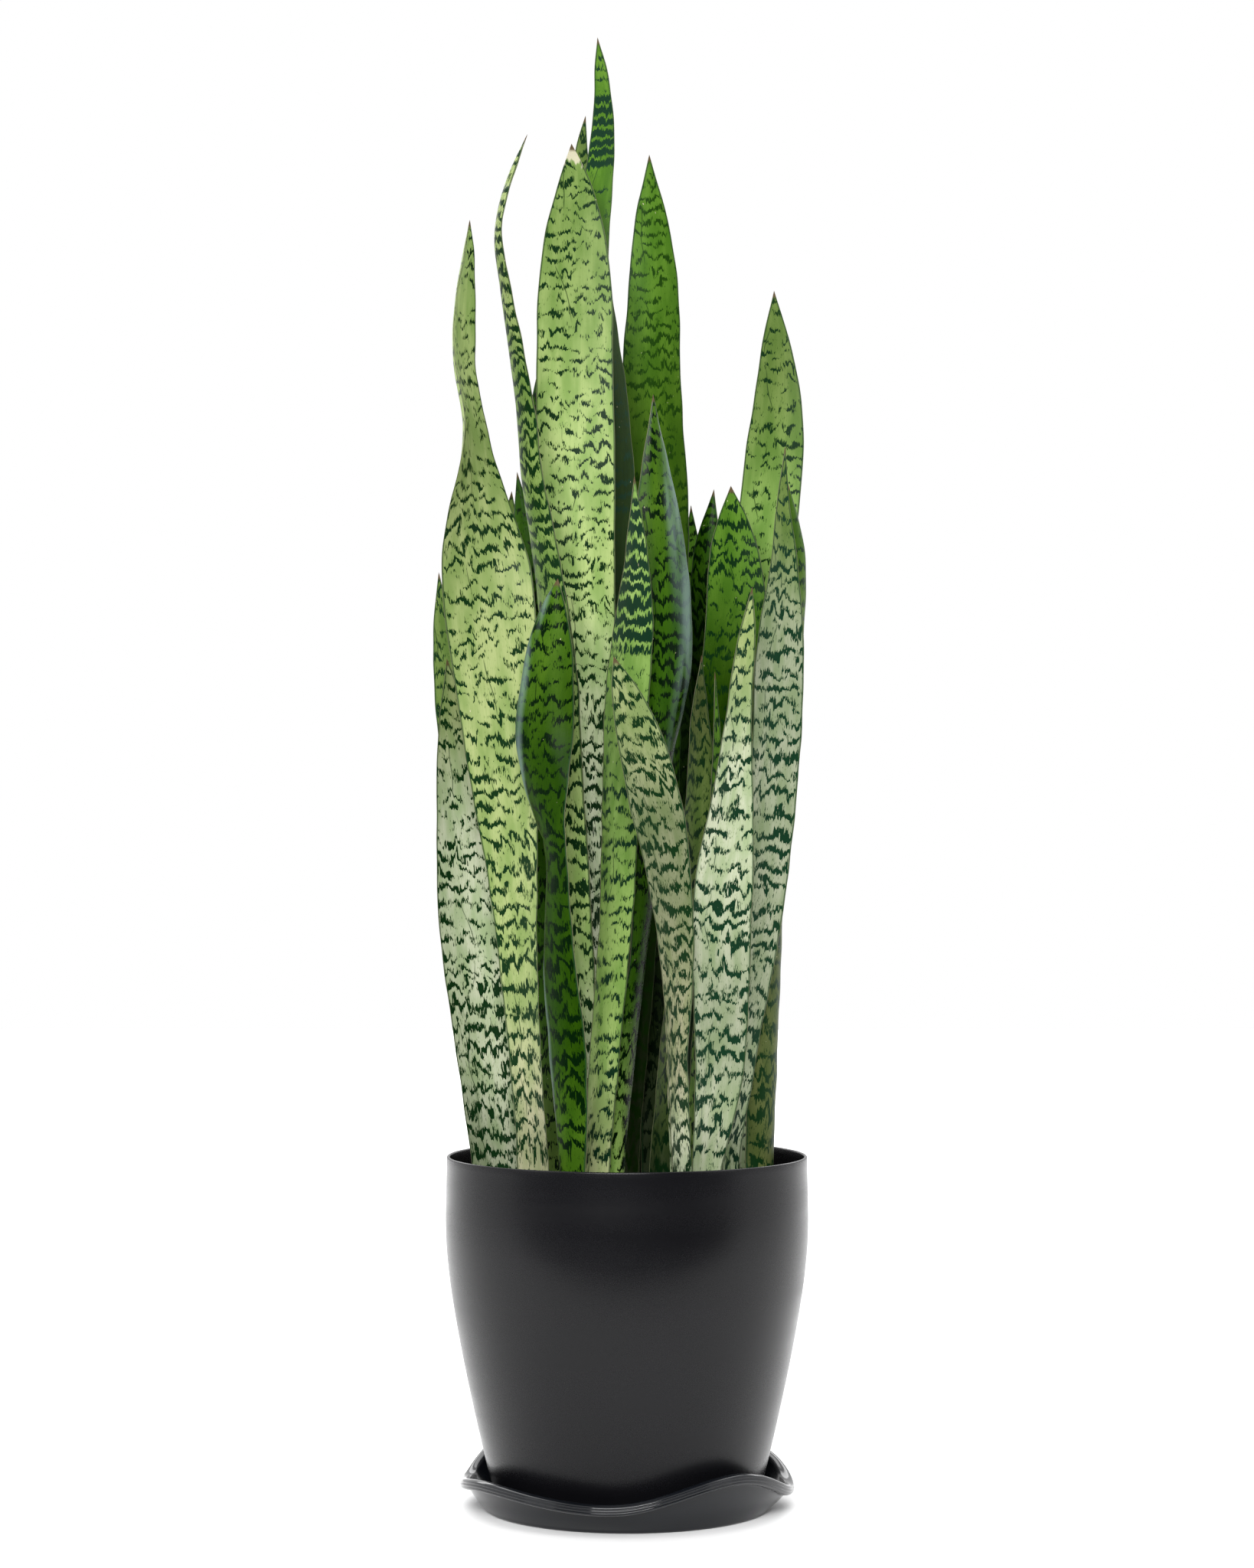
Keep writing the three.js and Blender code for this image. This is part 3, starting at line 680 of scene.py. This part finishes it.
def cut_drain_holes(pot, below, above):
    """Opens the round holes of the CAD pot's base in the turned pot."""
    corners = np.array([vertex.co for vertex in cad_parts["pot"].data.vertices])
    radii = np.hypot(corners[:, 0], corners[:, 1])
    near_holes = (radii > DRAIN_ZONE[0]) & (radii < DRAIN_ZONE[1])
    corners, radii = corners[near_holes], radii[near_holes]
    ring, hole = (radii.max() + radii.min()) / 2, (radii.max() - radii.min()) / 2
    outermost = corners[radii.argmax()]
    first = math.atan2(outermost[1], outermost[0])
    tube = bmesh.new()
    for i in range(DRAIN_HOLES):
        angle = first + 2 * math.pi * i / DRAIN_HOLES
        centre = (ring * math.cos(angle), ring * math.sin(angle), (below + above) / 2)
        bmesh.ops.create_cone(
            tube, cap_ends=True, segments=DRAIN_HOLE_SIDES, radius1=hole, radius2=hole,
            depth=3 * (above - below), matrix=Matrix.Translation(centre))
    mesh = bpy.data.meshes.new("drain_holes")
    tube.to_mesh(mesh)
    tube.free()
    cutter = bpy.data.objects.new("drain_holes", mesh)
    bpy.context.scene.collection.objects.link(cutter)
    cut = pot.modifiers.new("drain_holes", "BOOLEAN")
    cut.operation, cut.object = "DIFFERENCE", cutter
    depsgraph = bpy.context.evaluated_depsgraph_get()
    pot.data = bpy.data.meshes.new_from_object(pot.evaluated_get(depsgraph))
    pot.modifiers.clear()
    bpy.data.objects.remove(cutter)


LIP_THICKNESS = 8 * MM
LIP_REACH = 7 * MM
SAUCER_WALL = 2 * MM
SAUCER_WALL_START = 2.0 * MM
SAUCER_BULGE = 1.2 * MM
SAUCER_FOOT_ROUNDING = 2.6 * MM
SAUCER_FLOOR_ROUNDING = 2.5 * MM
# The widest corners of the CAD saucer between these heights are its foot's.
SAUCER_FOOT_ZONE = (1 * MM, 4 * MM)
# How near to a radius a corner has to be.
NEAR = 1 * MM
# The lip's section from its underside at the wall round its two grooves to the inside, as
# (outwards from the wall, upwards from the underside) in millimetres.
LIP_SECTION = [
    (0.2, 0), (1.4, -0.1), (3.4, 0), (5.0, 0.5), (6.0, 1.3), (6.5, 2.1), (6.1, 2.6), (6.1, 2.9),
    (6.8, 3.3), (7.0, 3.9), (6.9, 4.5), (6.3, 4.8), (6.2, 5.1), (6.6, 5.5), (6.3, 6.3),
    (5.5, 7.1), (4.3, 7.7), (2.8, 8.0), (1.2, 7.8), (-0.2, 7.1), (-1.2, 6.0), (-1.8, 4.6),
]


def saucer_facts():
    """The CAD saucer's outer and foot radius, the height of its floor, and the height of its
    wavy lip at each step round."""
    corners = np.array([vertex.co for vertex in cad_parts["saucer"].data.vertices])
    heights = corners[:, 2]
    radii = np.hypot(corners[:, 0], corners[:, 1])
    angles = np.degrees(np.arctan2(corners[:, 0], -corners[:, 1])) % 360
    outer = radii.max()
    foot = radii[(heights > SAUCER_FOOT_ZONE[0]) & (heights < SAUCER_FOOT_ZONE[1])].max()
    floor_height = heights[radii < NEAR].max()
    stations = np.unique(np.round(angles[radii > outer - NEAR], 2))
    tops = [heights[abs((angles - at + 180) % 360 - 180) < 0.1].max() for at in stations]
    wrapped = np.concatenate([stations - 360, stations, stations + 360])
    steps = np.degrees(np.linspace(0, 2 * math.pi, ROUND, endpoint=False))
    return outer, foot, floor_height, smooth(steps, wrapped, np.tile(tops, 3)[:, None])[:, 0]


def build_saucer():
    outer, foot, floor_height, lip_tops = saucer_facts()
    wall = outer - LIP_REACH
    inner_wall = wall - SAUCER_WALL
    floor_radius = foot - SAUCER_WALL
    foot_centre = foot - SAUCER_FOOT_ROUNDING
    floor_centre = floor_radius - SAUCER_FLOOR_ROUNDING
    # Each point is its radius, a value, and what the value is: a height; a depth below the lip's
    # top; or a share of the way up the outer or the inner wall.
    profile = [(0, 0, "height")]
    profile += [(radius, 0, "height") for radius in (*flat_radii(foot_centre), foot_centre)]
    profile += [(radius, height, "height") for radius, height in
                arc((foot_centre, SAUCER_FOOT_ROUNDING), SAUCER_FOOT_ROUNDING, -80, -15, 5)]
    for share in np.linspace(0.08, 0.95, 12):
        bulge = SAUCER_BULGE * math.sin(math.pi * share)
        profile.append((foot + (wall - foot) * share + bulge * 0.6, share, "outer"))
    profile += [(wall + out * MM, LIP_THICKNESS - up * MM, "lip") for out, up in LIP_SECTION]
    for share in np.linspace(0.95, 0.10, 12):
        profile.append((floor_radius + (inner_wall - floor_radius) * share, share, "inner"))
    profile += [(radius, height + floor_height, "height") for radius, height in
                arc((floor_centre, SAUCER_FLOOR_ROUNDING), SAUCER_FLOOR_ROUNDING, -15, -90, 5)]
    profile += [(radius, floor_height, "height")
                for radius in (*reversed(flat_radii(floor_centre)), 0)]

    def height_at(index, angle):
        value, kind = profile[index][1:]
        top = lip_tops[int(round(angle / (2 * math.pi) * ROUND)) % ROUND]
        if kind == "lip":
            return top - value
        if kind == "outer":
            return SAUCER_WALL_START + value * (top - LIP_THICKNESS - SAUCER_WALL_START)
        if kind == "inner":
            return (floor_height + SAUCER_WALL_START
                    + value * (top - 0.5 * LIP_THICKNESS - floor_height - SAUCER_WALL_START))
        return value

    points, faces = lathe([(radius, value) for radius, value, kind in profile], height_at)
    return add_mesh("wavy_saucer", points, faces)


SOIL_SEED = 7
SOIL_SURFACE_DROP = 5 * MM
SOIL_CLEARANCE = 0.4 * MM
SOIL_EDGE_SINK = 2 * MM
SOIL_RINGS = 60
SOIL_SIDES = 160
SOIL_SHOULDER = 8 * MM
SOIL_SIDE_STEP = 16 * MM
BUMP_SCALE = 0.8
# The wavelength and the height of the mix's bumps in millimetres; BUMP_WAYS waves have each.
BUMPS = [(60, 0.9), (38, 0.7), (22, 0.6), (13, 0.6), (8, 0.5), (5, 0.4)]
BUMP_WAYS = 4
CRUMBS = 420
CRUMB_INSET = 5 * MM
CRUMB_SIZES_MM = (1.2, 4.2)
CRUMB_PROPORTIONS = (1.5, 1.0, 0.55)
CRUMB_SIDES = 7
CRUMB_LEVELS = (-0.85, -0.35, 0.3, 0.8)
# The kinds of crumb as the soil_kind attribute gives them; the mix itself is 0.
BARK, PERLITE = 1.0, 2.0
PERLITE_SHARE = 0.08


def bumps_from(random):
    """A function that gives how much the mix rises at a place in plan."""
    waves = [(random.uniform(0, 2 * math.pi), random.uniform(0, 2 * math.pi),
              2 * math.pi / length, size)
             for length, size in BUMPS for _ in range(BUMP_WAYS)]

    def bumps(x, y):
        x, y = x / MM, y / MM
        return sum(size * math.sin(k * (x * math.cos(way) + y * math.sin(way)) + phase)
                   for way, phase, k, size in waves) * BUMP_SCALE * MM

    return bumps


def soil_body(surface, bottom, radius_at, bumps):
    """The points and faces of the bumpy top, the side along the pot's wall and the underside."""
    sides = SOIL_SIDES
    turns = [2 * math.pi * j / sides for j in range(sides)]
    edge = radius_at(surface)
    points, faces = [], []
    for i in range(1, SOIL_RINGS + 1):
        radius = edge * i / SOIL_RINGS
        for turn in turns:
            x, y = radius * math.cos(turn), radius * math.sin(turn)
            rise = bumps(x, y) * min(1, 4 * (1 - i / SOIL_RINGS) + 0.3)
            points.append((x, y, surface + rise - SOIL_EDGE_SINK * (i / SOIL_RINGS) ** 4))
    centre, last = len(points), len(points) - sides
    for inner in range(0, last, sides):
        outer = inner + sides
        for j in range(sides):
            k = (j + 1) % sides
            faces.append((inner + j, outer + j, outer + k, inner + k))
    points.append((0, 0, surface + bumps(0, 0)))
    faces += [(j, (j + 1) % sides, centre) for j in range(sides)]
    side = np.arange(surface - SOIL_SHOULDER, bottom, -SOIL_SIDE_STEP).tolist()
    for height in (*side, bottom):
        radius = radius_at(height)
        start = len(points)
        points += [(radius * math.cos(turn), radius * math.sin(turn), height) for turn in turns]
        for j in range(sides):
            k = (j + 1) % sides
            faces.append((last + k, last + j, start + j, start + k))
        last = start
    under = len(points)
    points.append((0, 0, bottom))
    faces += [(last + (j + 1) % sides, last + j, under) for j in range(sides)]
    return points, faces


def crumb(random, reach, surface, bumps, start):
    """A crumb that lies on the mix no further than reach from the axis: its points, its faces
    with the points counted from start, and its kind."""
    radius = reach * math.sqrt(random.uniform(0, 1))
    turn = random.uniform(0, 2 * math.pi)
    x, y = radius * math.cos(turn), radius * math.sin(turn)
    size = random.uniform(*CRUMB_SIZES_MM) * MM
    shape = random.uniform(0.5, 1.0, 3) * CRUMB_PROPORTIONS * size
    spin = random.uniform(0, 2 * math.pi)
    tilt = random.uniform(-0.5, 0.5)
    kind = BARK if random.uniform() > PERLITE_SHARE else PERLITE
    upright = Vector((math.sin(tilt), math.sin(tilt * 1.7), 1)).normalized()
    lean = Vector((0, 0, 1)).rotation_difference(upright)
    height = surface + bumps(x, y) + 0.35 * shape[2]
    points, faces = [], []
    for ring, level in enumerate(CRUMB_LEVELS):
        for j in range(CRUMB_SIDES):
            around = 2 * math.pi * j / CRUMB_SIDES + ring * 0.4
            out = math.sqrt(1 - level * level) * random.uniform(0.75, 1.15)
            local = Vector((out * math.cos(around) * shape[0],
                            out * math.sin(around) * shape[1], level * shape[2]))
            local.rotate(lean)
            points.append((x + local.x * math.cos(spin) - local.y * math.sin(spin),
                           y + local.x * math.sin(spin) + local.y * math.cos(spin),
                           height + local.z))
    last = start + len(points) - CRUMB_SIDES
    for lower in range(start, last, CRUMB_SIDES):
        faces += bridge(lower, lower + CRUMB_SIDES, CRUMB_SIDES)
    faces.append(tuple(start + j for j in reversed(range(CRUMB_SIDES))))
    faces.append(tuple(last + j for j in range(CRUMB_SIDES)))
    return points, faces, kind


def build_soil():
    corners = np.array([vertex.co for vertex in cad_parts["soil"].data.vertices])
    bottom, top = float(corners[:, 2].min()), corners[:, 2].max()
    radii, heights = np.array(pot_wall(outward=False)).T
    surface = top - SOIL_SURFACE_DROP

    def radius_at(height):
        return float(np.interp(height, heights, radii)) - SOIL_CLEARANCE

    random = np.random.default_rng(SOIL_SEED)
    bumps = bumps_from(random)
    points, faces = soil_body(surface, bottom, radius_at, bumps)
    kinds = [0.0] * len(points)
    reach = radius_at(surface) - CRUMB_INSET
    for _ in range(CRUMBS):
        new_points, new_faces, kind = crumb(random, reach, surface, bumps, len(points))
        points += new_points
        faces += new_faces
        kinds += [kind] * len(new_points)
    values = np.zeros((len(points), 3))
    values[:, 0] = kinds
    return add_mesh("crumbly_mix", points, faces, soil_kind=values)


# Linear colours of the potting mix, each from its darkest to its lightest.
PEAT_COLOURS = ((0.012, 0.008, 0.005), (0.055, 0.036, 0.022))
BARK_COLOURS = ((0.030, 0.016, 0.008), (0.12, 0.066, 0.032))
PERLITE_COLOURS = ((0.42, 0.40, 0.36), (0.66, 0.64, 0.60))


def plastic_material(name, colour, gloss, sheen, grain_size, grain_depth):
    s = Shader(name)
    place = s.node("TexCoord").outputs["Object"]
    cloud = s.noise(place, scale=9.0, detail=3.0)
    darker, lighter = (tuple(share * c for c in colour) for share in (0.86, 1.12))
    tint = s.mix(s.ramp(cloud, 0.3, 0.7), darker, lighter)
    grain = s.noise(place, scale=1 / grain_size, detail=2.0)
    rough = s.add(s.centred(cloud, 0.12), gloss)
    rough = s.add(rough, s.centred(grain, 0.10))
    x, y, z = s.split(place)
    rings = s.noise(s.vector(s.scale(x, 3.0), s.scale(y, 3.0), s.scale(z, 55.0)), detail=3.0)
    rough = s.add(rough, s.centred(rings, 0.16))
    normal = s.bump(grain, 0.35, grain_depth)
    return s.finish(Base_Color=tint, Roughness=rough, Normal=normal, Specular_IOR_Level=sheen)


def soil_material():
    s = Shader("peat_and_bark")
    place = s.node("TexCoord").outputs["Object"]
    kind = s.attribute("soil_kind")[0]
    coarse = s.noise(place, scale=160.0, detail=4.0, roughness=0.6)
    fine = s.noise(place, scale=900.0, detail=4.0, roughness=0.65)
    peat = s.mix(s.ramp(coarse, 0.3, 0.7), *PEAT_COLOURS)
    bark = s.mix(s.ramp(coarse, 0.35, 0.65), *BARK_COLOURS)
    perlite = s.mix(s.ramp(fine, 0.3, 0.7), *PERLITE_COLOURS)
    colour = s.mix(s.ramp(kind, BARK - 0.6, BARK - 0.4), peat, bark)
    colour = s.mix(s.ramp(kind, PERLITE - 0.6, PERLITE - 0.4), colour, perlite)
    normal = s.bump(coarse, 0.8, 1.5 * MM)
    normal = s.bump(fine, 0.8, 0.5 * MM, under=normal)
    rough = s.add(s.centred(fine, 0.2), 0.9)
    return s.finish(Base_Color=colour, Roughness=rough, Normal=normal, Specular_IOR_Level=0.2)


def place_piece(piece, node, material):
    piece.data.materials.append(material)
    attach(piece, "root")
    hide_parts(node)


for number, (leaf, look) in enumerate(LEAVES.items()):
    place_piece(build_leaf(leaf, 10 * number, look.get("nicks", ())), leaf,
                LeafShader(leaf, look, number).painted())
place_piece(build_pot(), "pot",
            plastic_material("satin_black", (0.0045, 0.0045, 0.0055), gloss=0.27, sheen=0.24,
                             grain_size=0.9 * MM, grain_depth=0.10 * MM))
place_piece(build_saucer(), "saucer",
            plastic_material("gloss_black", (0.004, 0.005, 0.007), gloss=0.10, sheen=0.42,
                             grain_size=1.6 * MM, grain_depth=0.04 * MM))
place_piece(build_soil(), "soil", soil_material())

# Studio ----------------------------------------------------------------------------------------

# The photo's height in pixels, the size of one in the plane through the pot's axis, and the row
# of the horizon, which is the camera's own height.
PHOTO_ROWS = 2048
MM_PER_PIXEL = 0.54
HORIZON_ROW = 1092

CAMERA_DISTANCE = 2.445
CAMERA_HEIGHT = 0.472
VIEW_HEIGHT_AT_AXIS = PHOTO_ROWS * MM_PER_PIXEL * MM
SENSOR_HEIGHT_MM = 24

FLOOR_HALF_WIDTH = 6
FLOOR_FRONT = -0.6
FLOOR_BACK = 6

DIM_STRENGTH = 0.07

floor = add_mesh("studio_floor", [
    (-FLOOR_HALF_WIDTH, FLOOR_FRONT, 0), (FLOOR_HALF_WIDTH, FLOOR_FRONT, 0),
    (FLOOR_HALF_WIDTH, FLOOR_BACK, 0), (-FLOOR_HALF_WIDTH, FLOOR_BACK, 0),
], [(0, 1, 2, 3)])
paper = Shader("studio_paper").finish(Base_Color=(0.93, 0.93, 0.93), Roughness=0.8)
floor.data.materials.append(paper)

scene = bpy.context.scene
scene.view_settings.view_transform = "Standard"
world = bpy.data.worlds.new("studio")
world.use_nodes = True
# White all round and above, and dim in front at the height of the camera.
sky = Nodes(world.node_tree)
_, y, z = sky.split(sky.node("TexCoord").outputs["Generated"])
dim = sky.scale(sky.ramp(y, 0.0, -0.5), sky.ramp(z, 0.95, 0.6))
strength = sky.node("MapRange")
for name, value in (("Value", dim), ("To Min", 1.0), ("To Max", DIM_STRENGTH)):
    sky.feed(strength.inputs[name], value)
background = world.node_tree.nodes["Background"].inputs
sky.feed(background["Strength"], strength.outputs[0])
sky.feed(background["Color"], (1, 1, 1))
scene.world = world


def area_light(name, location, target, size, power):
    """A rectangular light aimed at a target, with its width and height and its power in watts."""
    light = bpy.data.lights.new(name, "AREA")
    light.shape = "RECTANGLE"
    light.size, light.size_y = size
    light.energy = power
    lamp = bpy.data.objects.new(name, light)
    lamp.location = location
    lamp.rotation_euler = (Vector(target) - Vector(location)).to_track_quat("-Z", "Y").to_euler()
    scene.collection.objects.link(lamp)


area_light("front_softbox", (-0.35, -2.9, 1.75), (0, 0, 0.45), (1.8, 1.1), 117)
area_light("left_softbox", (-2.0, -1.2, 1.2), (0, 0, 0.5), (1.0, 1.6), 8)
area_light("right_softbox", (2.0, -1.0, 1.2), (0, 0, 0.5), (1.0, 1.6), 7)
area_light("floor_wash_near", (0, 1.6, 3.0), (0, 1.6, 0), (4.0, 3.0), 95)
area_light("floor_wash_far", (0, 4.8, 2.6), (0, 4.8, 0), (7.0, 2.5), 150)

camera_data = bpy.data.cameras.new("camera")
camera_data.sensor_fit = "VERTICAL"
camera_data.sensor_height = SENSOR_HEIGHT_MM
camera_data.lens = SENSOR_HEIGHT_MM * CAMERA_DISTANCE / VIEW_HEIGHT_AT_AXIS
camera_data.clip_end = 50
camera = bpy.data.objects.new("camera", camera_data)
camera.location = (0, -CAMERA_DISTANCE, CAMERA_HEIGHT)
camera.rotation_euler = (math.radians(90), 0, 0)
camera_data.shift_y = (HORIZON_ROW - PHOTO_ROWS / 2) / PHOTO_ROWS
scene.collection.objects.link(camera)
scene.camera = camera
